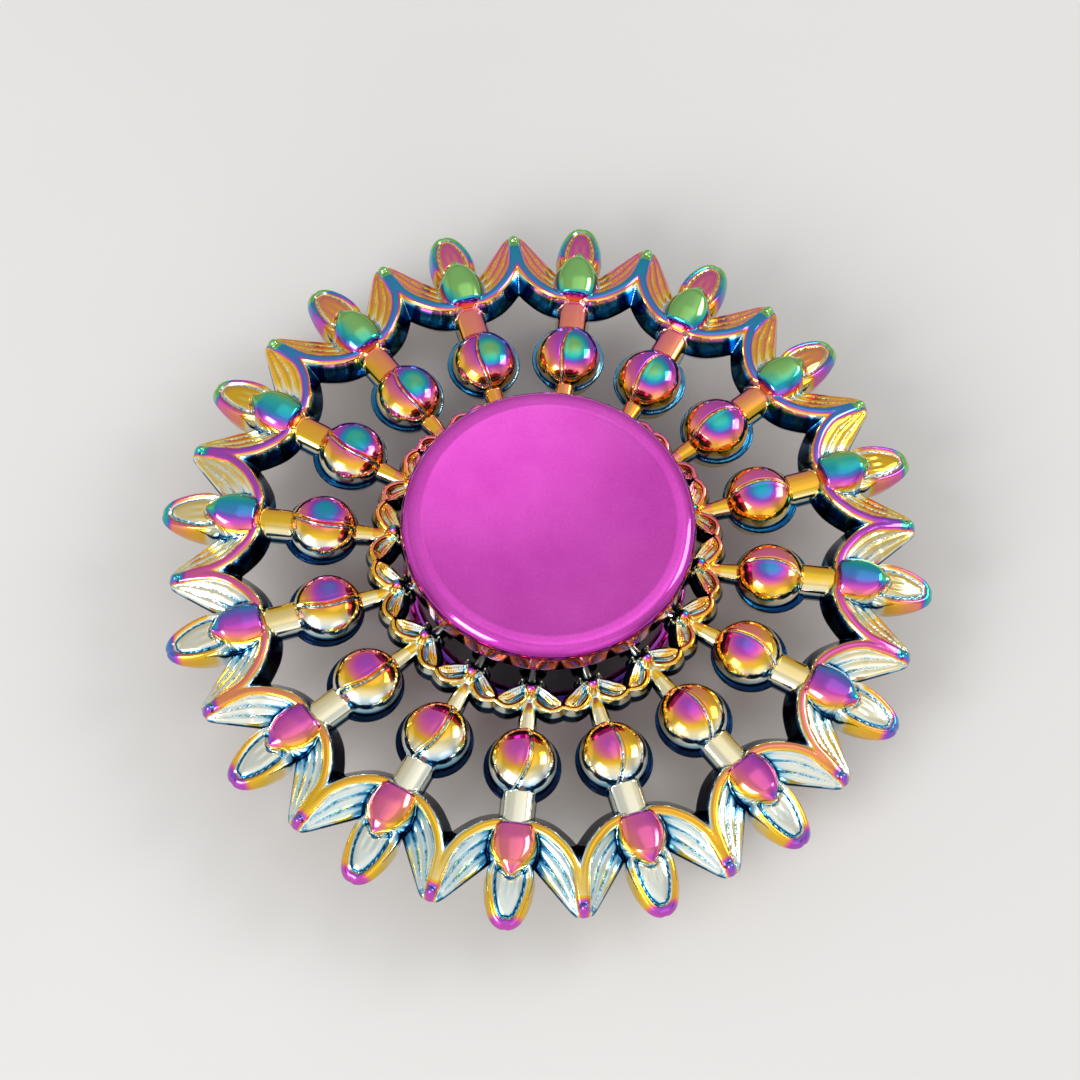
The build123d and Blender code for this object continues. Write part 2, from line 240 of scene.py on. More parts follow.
def steel(name, lo, hi, rough0, rough1, turned=True, scale=900.0):
    """Bright steel with fine turning marks round Z, or a fine even grain."""
    mat, nt, bsdf = new_mat(name)
    tc = node(nt, "ShaderNodeTexCoord")
    if turned:
        sep = node(nt, "ShaderNodeSeparateXYZ")
        nt.links.new(tc.outputs["Object"], sep.inputs[0])
        r2 = math_node(nt, "ADD", math_node(nt, "POWER", sep.outputs["X"], 2.0), math_node(nt, "POWER", sep.outputs["Y"], 2.0))
        comb = node(nt, "ShaderNodeCombineXYZ")
        nt.links.new(math_node(nt, "SQRT", r2), comb.inputs[0])
        nt.links.new(sep.outputs["Z"], comb.inputs[1])
        vec = comb.outputs[0]
    else:
        vec = tc.outputs["Object"]
    marks = noise(nt, vec, scale * (9.0 if turned else 1.0), 4.0, 0.7)
    cloud = noise(nt, tc.outputs["Object"], 160.0, 2.0)
    mixv = math_node(nt, "ADD", math_node(nt, "MULTIPLY", marks, 0.65), math_node(nt, "MULTIPLY", cloud, 0.35))
    nt.links.new(ramp(nt, mixv, [(0.3, lo), (0.7, hi)], "LINEAR"), bsdf.inputs["Base Color"])
    bsdf.inputs["Metallic"].default_value = 1.0
    nt.links.new(math_node(nt, "MULTIPLY_ADD", marks, rough1 - rough0, rough0), bsdf.inputs["Roughness"])
    nt.links.new(bump(nt, marks, 0.12, 0.00002), bsdf.inputs["Normal"])
    return mat


PLATING = rainbow_plating(True)
HUB_PLATING_SHADED = rainbow_plating(False)
CAP = anodised()
RACE = steel("bearing_steel", (0.46, 0.47, 0.50), (0.66, 0.67, 0.69), 0.12, 0.30)
BALL = steel("ball_steel", (0.68, 0.69, 0.71), (0.80, 0.81, 0.83), 0.04, 0.09, turned=False, scale=1500.0)
CAGE = steel("cage_steel", (0.42, 0.40, 0.37), (0.62, 0.60, 0.56), 0.24, 0.42, turned=False)
RIVET = steel("rivet_steel", (0.56, 0.54, 0.49), (0.70, 0.68, 0.62), 0.18, 0.32, turned=False)
SHIELD = steel("shield_steel", (0.46, 0.46, 0.47), (0.64, 0.64, 0.65), 0.18, 0.36)
SPRING = steel("spring_steel", (0.24, 0.24, 0.26), (0.38, 0.38, 0.40), 0.22, 0.38)


# ------------------------------------------------------------------ the casting as a height over the parting plane
def smax(a, b, k):
    h = np.clip(0.5 + 0.5 * (a - b) / k, 0, 1)
    return b + (a - b) * h + k * h * (1 - h)


def smin(a, b, k):
    return -smax(-a, -b, k)


def step(lo, hi, x):
    t = np.clip((x - lo) / (hi - lo), 0, 1)
    return t * t * (3 - 2 * t)


def curve(points, per=12):
    """Catmull-Rom through points of 2 or 3 numbers, sampled evenly in its parameter."""
    p = np.array(points, float)
    p = np.vstack([2 * p[0] - p[1], p, 2 * p[-1] - p[-2]])
    out = []
    for i in range(1, len(p) - 2):
        t = np.linspace(0, 1, per, endpoint=False)[:, None]
        a, b, c, d = p[i - 1], p[i], p[i + 1], p[i + 2]
        out.append(0.5 * (2 * b + (c - a) * t + (2 * a - 5 * b + 4 * c - d) * t**2 + (3 * b - a - 3 * c + d) * t**3))
    out.append(p[-2][None])
    return np.vstack(out)


def near(u, v, c):
    """Signed distance to a sampled curve, positive on its left, and the curve's third number at the nearest point."""
    a, b = c[:-1, :2], c[1:, :2]
    ab = b - a
    l2 = (ab**2).sum(1)
    pu, pv = u[:, None] - a[:, 0], v[:, None] - a[:, 1]
    t = np.clip((pu * ab[:, 0] + pv * ab[:, 1]) / l2, 0, 1)
    du, dv = pu - t * ab[:, 0], pv - t * ab[:, 1]
    d2 = du * du + dv * dv
    i = d2.argmin(1)
    k = np.arange(len(u))
    s = np.sign(ab[i, 0] * pv[k, i] - ab[i, 1] * pu[k, i])
    s[s == 0] = 1
    d = s * np.sqrt(d2[k, i])
    if c.shape[1] > 2:
        tt = t[k, i]
        return d, c[i, 2] * (1 - tt) + c[i + 1, 2] * tt
    return d, None


def dome(d, w, c, K=4.0):
    """Height c of an elliptic crown over a half width w, at inside distance d. It runs down at slope K past the edge."""
    q = 1 - d / w
    qs = K / np.sqrt(K * K + (c / w) ** 2)
    hs = c * np.sqrt(1 - qs * qs)
    return np.where(q < qs, c * np.sqrt(np.clip(1 - np.clip(q, 0, 1) ** 2, 0, 1)), hs - K * w * (q - qs))


# band round the windows: (u, v, height)
RIDGE = curve([(27.3, 0.1, 2.1), (26.95, 0.7, 2.15), (26.62, 1.4, 2.2), (26.8, 2.25, 2.25), (27.2, 3.1, 2.24), (28.05, 4.25, 2.16), (28.9, 5.02, 2.06),
               (29.75, 5.55, 1.90), (30.95, 5.92, 1.62), (32.2, 6.24, 1.24), (33.0, 6.46, 0.86), (33.9, 6.66, 0.40), (35.0, 6.88, 0.1)])
WING_LOW = curve([(28.2, 0.1), (29.4, 1.5), (30.45, 2.58), (31.75, 3.92), (32.75, 4.95), (33.35, 5.6), (33.62, 6.1), (33.44, 6.65), (33.0, 7.4)])
PETAL = curve([(28.8, 1.2), (29.7, 1.75), (30.5, 2.05), (31.3, 2.15), (32.2, 2.1), (33.1, 1.94), (34.0, 1.65), (34.6, 1.36), (35.05, 1.0),
               (35.3, 0.62), (35.4, 0.3), (35.36, 0.0), (35.4, -0.3)])
LACE_RIM = curve([(14.2, 0.05, 1.25), (14.74, 0.50, 1.35), (15.2, 0.90, 1.5), (15.58, 1.42, 1.6), (15.72, 1.98, 1.66), (15.56, 2.52, 1.68),
                  (15.22, 2.98, 1.68), (14.82, 3.35, 1.6), (14.4, 3.75, 1.5)])
LACE_IN = curve([(13.0, 0.0), (13.3, 0.62), (13.55, 1.2), (13.78, 1.75), (14.15, 2.3), (14.62, 2.72), (15.1, 3.1)])
SPLIT = np.polyfit([18.0, 18.6, 19.3, 20.1, 21.3, 22.3, 23.3, 24.2], [0.26, 0.38, 0.5, 0.54, 0.44, 0.08, -0.46, -1.05], 5)
PETAL_H = np.polyfit([29.0, 30.5, 31.5, 32.5, 33.5, 34.3, 35.1], [1.98, 1.90, 1.74, 1.50, 1.22, 0.96, 0.72], 4)


def bar(q, c, p, K=5.0):
    """Height c of a superelliptic crown at the relative offset q, and a steep fall outside."""
    qq = np.clip(q, 0, 0.995)
    return np.where(q < 0.995, c * (1 - qq**p) ** (1 / p), c * (1 - 0.995**p) ** (1 / p) - K * (q - 0.995))


def wing(u, v):
    s, hr = near(u, v, RIDGE)
    e, _ = near(u, v, WING_LOW)
    rr = 0.52 - 0.14 * step(29.5, 32.8, u)
    slope = 2.0
    knee = rr * slope / math.sqrt(1 + slope * slope)
    sc = np.clip(s, 0, knee)
    inner = hr - (rr - np.sqrt(rr * rr - sc * sc)) - slope * np.clip(s - knee, 0, None)
    c = np.clip(-s, 0, None)
    half = 0.8 * rr
    cc = np.clip(c, 0, half)
    band = hr - 0.8 * (rr - np.sqrt(rr * rr - cc * cc)) - 1.8 * np.clip(c - half, 0, None)
    ep = np.clip(e, 0, None)
    width = c + ep
    x = c / (width + 1e-6)
    top = hr - 0.30
    base = top + (0.36 - top) * np.clip((x - 0.12) / 0.88, 0, 1) ** 1.25
    ph = np.clip((x - 0.14) / 0.86, 0, 1)
    lobes = np.abs(np.sin(math.pi * 3.0 * ph)) ** 0.6
    amp = 0.17 * np.clip((width - 0.5) / 2.0, 0, 1)
    outer = smax(band, base + amp * (lobes - 0.60), 0.06)
    h = np.where(s >= 0, inner, outer)
    return smin(h, 0.16 + 2.6 * e, 0.14)


def wing_knob(u, v):
    rho = np.hypot(u - 32.98, v - 6.56)
    return dome(0.62 - rho, 0.62, 1.28)


def boss(u, v):
    w = np.where(u < 28.3, 1.92 * (1 - 0.22 * ((28.3 - u) / 1.8) ** 2), 1.92 * (1 - (np.abs(u - 28.3) / 2.86) ** 2.4))
    wide = np.clip(w, 0.02, None) + 0.32
    c = 2.85 + 0.24 * step(26.4, 28.4, u) - 0.50 * step(30.0, 31.2, u)
    end = np.clip((26.98 - u) / 0.70, 0, 0.995)
    c = c * (1 - end**2.4) ** (1 / 2.4)
    d = w + 0.32 - v
    h = bar(np.abs(v) / wide, c, 2.8)
    tip = np.where(u > 31.16, -6.0 * (u - 31.16), 9.0)
    return np.minimum(np.minimum(h, tip), 1.2 + 6.0 * (u - 26.28)), np.minimum(d, 31.2 - u)


def petal(u, v, boss_d):
    s, _ = near(u, v, PETAL)
    d = -s
    hp = np.polyval(PETAL_H, np.clip(u, 28.5, 35.3))
    crest, groove, depth = 0.46, 0.90, 0.28
    flank = dome(np.clip(d, None, crest), crest, 1.0, 4.5)
    outside = np.where(flank > 0, hp * flank, flank * 1.5)
    fall = depth * (0.5 - 0.5 * np.cos(math.pi * np.clip((d - crest) / (groove - crest), 0, 1)))
    k = np.clip((d - groove) / 0.75, 0, 1)
    lobe = 0.24 * np.sqrt(np.clip(1 - (1 - k) ** 2, 0, 1))
    pleat = 0.030 * np.cos(2 * math.pi * v / 0.70) * step(0.9, 1.1, d) * (1 - step(32.0, 33.0, u))
    h = np.where(d < crest, outside, hp - fall + lobe + pleat)
    pit = 0.22 * np.exp(-((np.clip(boss_d, None, 0) / 0.30) ** 2)) * step(0.45, 0.9, d)
    return h - pit


def bud_side(u, v):
    """Distance from the edge of the upper leaf, positive on that leaf."""
    return np.polyval(SPLIT, np.clip(u, 17.8, 24.4)) - v


def bud(u, v):
    rho = np.sqrt(((u - 20.55) / 3.16) ** 2 + (v / 3.06) ** 2)
    h = bar(rho, 2.90, 2.5, 18.0)
    side = bud_side(u, v)
    lap = 0.22 * step(-0.04, 0.12, side) + 0.05 * np.exp(-(((side - 0.22) / 0.14) ** 2)) - 0.22 * np.exp(-(((side + 0.12) / 0.13) ** 2))
    h = h + lap * step(0.3, 1.3, h)
    rf = np.sqrt(((u - 20.75) / 3.44) ** 2 + (v / 3.40) ** 2)
    df = (1 - rf) * 3.4
    flange = np.where(df > 0, 0.20 + 0.16 * np.clip(df, 0, 1), 0.20 + 4.0 * df)
    return smax(h, flange, 0.08)


def necks(u, v):
    ri = 0.72 + 0.088 * (u - 15.3)
    inner = bar(v / ri, 0.98 + 0.02 * (u - 15.0), 2.5)
    inner = np.minimum(inner, np.minimum(3.0 * (u - 14.3), 3.0 * (18.6 - u)))
    outer = bar(v / 1.50, 1.50, 2.9)
    outer = np.minimum(outer, np.minimum(3.0 * (u - 22.4), 3.0 * (27.6 - u)))
    return np.maximum(inner, outer)


def lace_leaf(u, v):
    s, hr = near(u, v, LACE_RIM)          # left of the run is the inner side
    e, _ = near(u, v, LACE_IN)            # right of the run is the leaf
    e = -e
    rr = 0.28
    out = np.clip(-s, 0, None)
    oc = np.clip(out, 0, 0.26)
    outer = hr - (rr - np.sqrt(rr * rr - oc * oc)) - 3.6 * np.clip(out - 0.26, 0, None)
    c = np.clip(s, 0, None)
    ep = np.clip(e, 0, None)
    width = c + ep
    x = c / (width + 1e-6)
    cc = np.clip(c, 0, 0.24)
    rim = hr - (rr - np.sqrt(rr * rr - cc * cc)) - 2.6 * np.clip(c - 0.24, 0, None)
    floor_z = 0.95
    y = np.clip((x - 0.34) / 0.52, 0, 1)
    bowl = floor_z + (1.60 - floor_z) * np.sqrt(1 - (1 - y) ** 2)
    flute = np.abs(np.sin(math.pi * 3.0 * y)) ** 0.7
    bowl = bowl + 0.10 * np.clip(width / 1.6, 0, 1) * (flute - 0.6) * step(0.0, 0.2, y)
    inner = smax(rim, bowl, 0.08)
    h = np.where(s >= 0, inner, outer)
    return smin(h, 1.1 + 3.5 * e, 0.16)


def lace_mid(u, v):
    rho = np.sqrt(((u - 13.98) / 0.92) ** 2 + (v / 0.84) ** 2)
    bead = bar(rho, 2.42, 2.1, 7.0)
    bridge = np.minimum(dome(0.62 - v, 0.62, 1.15), 3.0 * (14.2 - u))
    stud = dome(0.30 - np.hypot(u - 13.12, v - 0.86), 0.30, 1.75)
    arm = np.minimum(1.05 - 3.0 * np.clip(np.abs(u - 13.3 - 0.25 * v) - 0.22, 0, None), 3.0 * (1.2 - v))
    return smax(smax(bead, bridge, 0.12), smax(stud, arm, 0.1), 0.08)


def sheet_height(x, y):
    """Height of the casting's upper face over the parting plane, in mm, negative outside its outline."""
    r = np.hypot(x, y)
    th = np.arctan2(y, x)
    t = th - np.round(th / PA) * PA
    u, v = r * np.cos(t), r * np.sin(t)
    av = np.abs(v)
    t2 = PA - np.abs(t)
    u2, v2 = r * np.cos(t2), r * np.sin(t2)
    h = np.full(r.shape, -3.0)
    # lotus rim
    k = r > 24.0
    if k.any():
        w = smax(wing(u[k], av[k]), wing(u2[k], v2[k]), 0.20)
        w = smax(w, wing_knob(u[k], av[k]), 0.10)
        w = smax(w, wing_knob(u2[k], v2[k]), 0.04)
        b, bd = boss(u[k], av[k])
        p = petal(u[k], av[k], bd)
        g = smax(w, p, 0.05)
        g = smax(g, b, 0.05)
        h[k] = np.maximum(h[k], g)
    k = (r > 16.6) & (r < 25.2)
    if k.any():
        h[k] = np.maximum(h[k], bud(u[k], v[k]))
    k = r < 17.2
    if k.any():
        g = smax(lace_leaf(u[k], av[k]), lace_leaf(u2[k], v2[k]), 0.10)
        g = smax(g, lace_mid(u[k], av[k]), 0.07)
        h[k] = np.maximum(h[k], g)
    k = (r > 13.8) & (r < 28.2)
    if k.any():
        h[k] = smax(h[k], necks(u[k], av[k]), 0.09)
    return h


def slopes(x, y, eps=0.02):
    h = sheet_height(x, y)
    gx = (sheet_height(x + eps, y) - sheet_height(x - eps, y)) / (2 * eps)
    gy = (sheet_height(x, y + eps) - sheet_height(x, y - eps)) / (2 * eps)
    g = np.hypot(gx, gy)
    lim = np.minimum(1, 6.0 / np.maximum(g, 1e-9))
    return h, gx * lim, gy * lim


def film_layer(x, y, z, nz):
    """Film offset of every point, and how it bends from front to back: each component has its own plating colour.
    Painted shade also lowers the offset toward the dark end of the ramp in recesses, creases, low parts and on the
    window walls.
    """
    r = np.hypot(x, y)
    th = np.arctan2(y, x)
    t = th - np.round(th / PA) * PA
    u, v = r * np.cos(t), r * np.sin(t)
    av = np.abs(v)
    t2 = PA - np.abs(t)
    u2, v2 = r * np.cos(t2), r * np.sin(t2)
    az = np.abs(z)
    t0 = 0.337 + 0.195 * az + 0.46 * (0.954 * np.abs(nz) - 1)
    want = t0.copy()
    bend = np.zeros(len(x))
    tilt = np.ones(len(x))
    # crest is the height over the mean of a small ring round each point; below, its negative values darken recesses as
    # painted shade
    ring = np.zeros(len(x))
    for k in range(6):
        a = 2 * math.pi * (k + 0.5) / 6
        ring += np.clip(sheet_height(x + 0.30 * math.cos(a), y + 0.30 * math.sin(a)), 0, None)
    crest = az - ring / 6
    # buds: the lower leaf is plated thinner; painted shade darkens the groove between the leaves and all that lies low
    k = (r > 16.9) & (r < 24.6)
    side = bud_side(u, v)
    leaf = np.sqrt(((u[k] - 20.3) / 3.2) ** 2 + ((v[k] + 0.45) / 3.0) ** 2)
    want[k] = np.interp(leaf, [0.0, 0.28, 0.42, 0.56, 0.72, 0.86, 0.96], [0.90, 0.87, 0.81, 0.72, 0.67, 0.62, 0.52])
    lower = np.interp(leaf, [0.0, 0.5, 0.8, 0.96], [0.75, 0.71, 0.64, 0.52])
    want[k] += (lower - want[k]) * (1 - step(-0.10, 0.06, side[k]))
    # painted shade in the groove along the edge of the upper leaf
    want[k] -= 0.50 * np.exp(-(((side[k] + 0.09) / 0.075) ** 2)) * step(0.8, 1.4, az[k])
    # painted shade on the low parts
    want[k] -= 0.42 * (1 - step(0.30, 1.10, az[k]))
    # necks: painted shade darkens their low parts
    nk = necks(u, av)
    n_in = (r < 17.9) & (nk > 0)
    n_out = (r > 23.3) & (r < 26.7) & (nk > 0)
    k = (n_in & (nk > az - 0.12) & (r > 15.9)) | (n_out & (nk > az - 0.12))
    want[k] = 0.57 - 0.40 * (1 - step(0.25, 0.75, az[k]))
    # lace: painted shade darkens its recesses and its low parts
    k = r < 16.9
    s, _ = near(u[k], av[k], LACE_RIM)
    s2, _ = near(u2[k], v2[k], LACE_RIM)
    sr = np.where(np.abs(s) < np.abs(s2), s, s2)
    want_l = 0.63 - 0.16 * step(0.22, 0.5, sr) + 0.6 * np.clip(crest[k], -0.35, 0.05)
    want_l -= 0.5 * (1 - step(0.45, 0.95, az[k]))
    want_l += 0.26 * step(1.95, 2.3, az[k]) * (1 - step(14.7, 14.95, r[k]))
    neck_here = n_in[k] & (nk[k] > az[k] - 0.12) & (r[k] > 15.9)
    want[k] = np.where(neck_here, want[k], want_l)
    # lotus rim: painted shade darkens the recesses, the creases, the low parts, the window walls and the boss's low
    # flanks
    k = np.where(r > 25.7)[0]
    if len(k):
        uk, vk, zk = u[k], av[k], az[k]
        s1, _ = near(uk, vk, RIDGE)
        s2, _ = near(u2[k], v2[k], RIDGE)
        w1, w2 = wing(uk, vk), wing(u2[k], v2[k])
        sw = np.where(np.abs(s1) < np.abs(s2), s1, s2)
        b, bd = boss(uk, vk)
        p = petal(uk, vk, bd)
        w = np.maximum(np.maximum(w1, w2), np.maximum(wing_knob(uk, vk), wing_knob(u2[k], v2[k])))
        on_band = np.exp(-((np.clip(np.abs(sw) - 0.22, 0, None) / 0.26) ** 2))
        e1, _ = near(uk, vk, WING_LOW)
        e2, _ = near(u2[k], v2[k], WING_LOW)
        edge = np.maximum(e1, e2)
        flute = 0.50 + 2.2 * np.clip(crest[k], -0.12, 0.01) - 0.15 * (1 - step(1.9, 3.6, vk)) - 0.12 * (1 - step(0.10, 0.40, edge))
        knob = step(32.6, 33.2, r[k])
        ridge = 0.80 + 0.13 * knob
        on_band = np.where((sw > 0) & (r[k] > 30.4), 1.0, on_band)
        # painted shade: the wall down into the window goes dark navy
        wall = np.clip((sw - 0.16) / 0.55, 0, 1) * (1 - step(29.9, 30.7, r[k]))
        tw = flute + (ridge - flute) * on_band
        tw = np.where((sw > 0) & (r[k] < 31.0), ridge - 0.78 * wall, tw)
        # painted shade on the low parts
        tw -= 0.30 * (1 - step(0.05, 0.30, zk)) * (r[k] < 32.8)
        bw = (-75.0 + 165.0 * knob) * on_band + 25.0 * (1 - on_band)
        sp, _ = near(uk, vk, PETAL)
        d = -sp
        rim = 0.40 + 0.26 * step(30.5, 31.4, uk) + 0.06 * step(31.4, 34.0, uk) + 0.23 * step(34.1, 34.9, uk)
        lobe = 0.50 + 1.0 * np.clip(crest[k], -0.15, 0.03)
        inner = step(0.58, 0.82, d)
        tp = rim + (lobe - rim) * inner
        # painted shade in the groove inside the petal rim
        tp -= 0.24 * np.exp(-(((d - 0.90) / 0.13) ** 2))
        # the boss film follows its height; the dark of its low flanks is painted shade
        tb = np.interp(zk, [0.4, 0.9, 1.3, 1.75, 2.1, 2.4, 2.8, 3.1], [0.10, 0.28, 0.45, 0.60, 0.74, 0.825, 0.87, 0.89])
        tb += 0.14 * step(29.9, 30.9, uk) * step(1.6, 2.1, zk)
        pick_b = (b >= np.maximum(p, w) - 0.03)
        pick_p = ~pick_b & (p >= w - 0.02)
        want[k] = np.where(pick_b, tb, np.where(pick_p, tp, tw))
        bend[k] = np.where(pick_b, 0.0, np.where(pick_p, 55.0, bw))
        tilt[k] = np.where(pick_b, 1.0, 0.25)
        neck_here = n_out[k] & (nk[k] > zk - 0.12)
        # painted shade on the low parts of the outer necks
        want[k] = np.where(neck_here, 0.57 - 0.40 * (1 - step(0.25, 0.75, zk)), want[k])
        bend[k] = np.where(neck_here, 0.0, bend[k])
    # painted shade: the lace darkens further near the parting plane
    low = 0.24 * (1 - step(0.2, 0.6, az)) * (r < 16.9)
    return want - t0 - low, bend, tilt


IN_R = 12.25


def casting_mesh():
    r_nodes = np.concatenate([np.arange(12.05, 16.6, 0.13), np.arange(16.6, 26.0, 0.18), np.arange(26.0, 35.85, 0.142)])
    n_th = 78
    dz = 0.17
    zn = np.arange(-20.5, 21.0, 1.0) * dz
    th = -PA / 2 + PA * np.arange(n_th) / n_th
    R, T = np.meshgrid(r_nodes, th, indexing="ij")
    X, Y = R * np.cos(T), R * np.sin(T)
    h, gx, gy = slopes(X.ravel(), Y.ravel())
    h, g = h.reshape(R.shape), np.sqrt(1 + gx * gx + gy * gy).reshape(R.shape)
    F = (np.abs(zn)[None, None, :] - h[:, :, None]) / g[:, :, None]
    F = np.maximum(F, (IN_R - R)[:, :, None])
    Fw = np.concatenate([F, F[:, :1]], 1)             # periodic in angle
    nr, nz = len(r_nodes), len(zn)
    inside = Fw < 0
    cells = np.zeros((nr - 1, n_th, nz - 1), int)
    acc = np.zeros((nr - 1, n_th, nz - 1, 3))
    cnt = np.zeros((nr - 1, n_th, nz - 1))
    corner = lambda A, i, j, k: A[i:nr - 1 + i, j:n_th + j, k:nz - 1 + k]
    thw = np.concatenate([th, [th[0] + PA]])
    for axis in range(3):
        for p in range(2):
            for q in range(2):
                if axis == 0:
                    a, b = (0, p, q), (1, p, q)
                elif axis == 1:
                    a, b = (p, 0, q), (p, 1, q)
                else:
                    a, b = (p, q, 0), (p, q, 1)
                fa, fb = corner(Fw, *a), corner(Fw, *b)
                cross = (fa < 0) != (fb < 0)
                w = np.where(cross, fa / np.where(cross, fa - fb, 1), 0)
                base = [r_nodes[a[0]:nr - 1 + a[0]][:, None, None], thw[a[1]:n_th + a[1]][None, :, None], zn[a[2]:nz - 1 + a[2]][None, None, :]]
                other = [r_nodes[b[0]:nr - 1 + b[0]][:, None, None], thw[b[1]:n_th + b[1]][None, :, None], zn[b[2]:nz - 1 + b[2]][None, None, :]]
                for c in range(3):
                    acc[..., c] += np.where(cross, base[c] + (other[c] - base[c]) * w, 0)
                cnt += cross
    live = cnt > 0
    index = np.full(live.shape, -1)
    index[live] = np.arange(live.sum())
    pos = acc[live] / cnt[live][:, None]
    n = len(pos)
    # quads round every crossed grid edge; a cell left of the first one belongs to the sector before
    quads = []

    def pick(i, j, k):
        """Index and sector shift of cells (i, j, k), where j may be -1."""
        wrap = j < 0
        return index[i, np.where(wrap, n_th - 1, j), k], np.where(wrap, -1, 0)

    I = inside[:, :n_th]
    e = np.argwhere(I[:-1] != I[1:])                  # along r
    e = e[(e[:, 2] > 0) & (e[:, 2] < nz - 1)]
    i, j, k = e.T
    flip = I[i, j, k]
    quads.append(([pick(i, j - 1, k - 1), pick(i, j, k - 1), pick(i, j, k), pick(i, j - 1, k)], flip))
    A, B = inside[:, :n_th], inside[:, 1:]
    e = np.argwhere(A != B)                           # along the angle
    e = e[(e[:, 2] > 0) & (e[:, 2] < nz - 1) & (e[:, 0] > 0) & (e[:, 0] < nr - 1)]
    i, j, k = e.T
    flip = ~A[i, j, k]
    quads.append(([pick(i - 1, j, k - 1), pick(i, j, k - 1), pick(i, j, k), pick(i - 1, j, k)], flip))
    e = np.argwhere(I[:, :, :-1] != I[:, :, 1:])      # along z
    e = e[(e[:, 0] > 0) & (e[:, 0] < nr - 1)]
    i, j, k = e.T
    flip = I[i, j, k]
    quads.append(([pick(i - 1, j - 1, k), pick(i, j - 1, k), pick(i, j, k), pick(i - 1, j, k)], flip))
    q_idx, q_sh = [], []
    for corners, flip in quads:
        idx = np.stack([c[0] for c in corners], 1)
        sh = np.stack([c[1] for c in corners], 1)
        idx[~flip], sh[~flip] = idx[~flip][:, ::-1], sh[~flip][:, ::-1]
        q_idx.append(idx)
        q_sh.append(sh)
    q_idx, q_sh = np.vstack(q_idx), np.vstack(q_sh)
    assert (q_idx >= 0).all()

    # move the points onto the surface
    x, y, z = pos[:, 0] * np.cos(pos[:, 1]), pos[:, 0] * np.sin(pos[:, 1]), pos[:, 2].copy()
    cut = pos[:, 0] < IN_R + 0.07
    rim = np.abs(z) < dz * 0.42                       # the parting line
    z[rim & ~cut] = 0
    for _ in range(4):
        h, gx, gy = slopes(x, y)
        sg = np.where(z < 0, -1.0, 1.0)
        f = np.abs(z) - h
        g2 = 1 + gx * gx + gy * gy
        gg = gx * gx + gy * gy
        d = np.where(rim, np.where(gg > 1e-6, -h / np.maximum(gg, 0.05), 0), 0)
        mx = np.where(rim, d * gx, f * gx / g2)
        my = np.where(rim, d * gy, f * gy / g2)
        mz = np.where(rim, 0, -f * sg / g2)
        size = np.sqrt(mx * mx + my * my + mz * mz)
        lim = np.minimum(1, 0.07 / np.maximum(size, 1e-9)) * ~cut
        x, y, z = x + mx * lim, y + my * lim, z + mz * lim
    rc = np.hypot(x, y)
    x[cut], y[cut] = x[cut] * IN_R / rc[cut], y[cut] * IN_R / rc[cut]
    h, gx, gy = slopes(x, y, 0.035)
    sg = np.where(z < 0, -1.0, 1.0)
    nrm = np.stack([-gx, -gy, np.where(rim & (np.abs(z) < 1e-4), 0.0, sg)], 1)
    nrm[cut] = np.stack([-x[cut], -y[cut], 0 * x[cut]], 1)
    nrm /= np.maximum(np.linalg.norm(nrm, axis=1), 1e-9)[:, None]

    film_and_shade, bend, tilt = film_layer(x, y, z, nrm[:, 2])
    verts, norms, faces = [], [], []
    for s in range(SPOKES):
        a = PA * s
        ca, sa = math.cos(a), math.sin(a)
        verts.append(np.stack([x * ca - y * sa, x * sa + y * ca, z], 1))
        norms.append(np.stack([nrm[:, 0] * ca - nrm[:, 1] * sa, nrm[:, 0] * sa + nrm[:, 1] * ca, nrm[:, 2]], 1))
        faces.append(q_idx + n * ((s + q_sh) % SPOKES))
    verts, norms, faces = np.vstack(verts) * MM, np.vstack(norms), np.vstack(faces)
    return verts, norms, faces, np.tile(film_and_shade, SPOKES), np.tile(bend, SPOKES), np.tile(tilt, SPOKES)


def mesh_object(name, verts, faces, norms=None, mat=None):
    me = bpy.data.meshes.new(name)
    me.vertices.add(len(verts))
    me.vertices.foreach_set("co", np.asarray(verts, np.float32).ravel())
    faces = np.asarray(faces)
    me.loops.add(faces.size)
    me.loops.foreach_set("vertex_index", faces.astype(np.int32).ravel())
    me.polygons.add(len(faces))
    me.polygons.foreach_set("loop_start", np.arange(0, faces.size, faces.shape[1], dtype=np.int32))
    me.polygons.foreach_set("loop_total", np.full(len(faces), faces.shape[1], np.int32))
    me.update(calc_edges=True)
    me.validate()
    me.shade_smooth()
    if norms is not None:
        me.normals_split_custom_set_from_vertices(np.asarray(norms, np.float32))
    ob = bpy.data.objects.new(name, me)
    bpy.context.scene.collection.objects.link(ob)
    if mat:
        me.materials.append(mat)
    return ob


verts, norms, faces, film_and_shade, bend, tilt = casting_mesh()
casting = mesh_object("rotor_casting", verts, faces, norms, PLATING)
for label, values in (("film_and_shade", film_and_shade), ("bend", bend), ("tilt", tilt)):
    layer = casting.data.attributes.new(label, "FLOAT", "POINT")
    layer.data.foreach_set("value", values.astype(np.float32))
print("casting", len(verts), "points", len(faces), "faces", "box", verts.min(0) / MM, verts.max(0) / MM)
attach(casting, "rotor")
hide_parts("rotor_lace_ring", "rotor_spoke_buds", "rotor_lotus_rim")


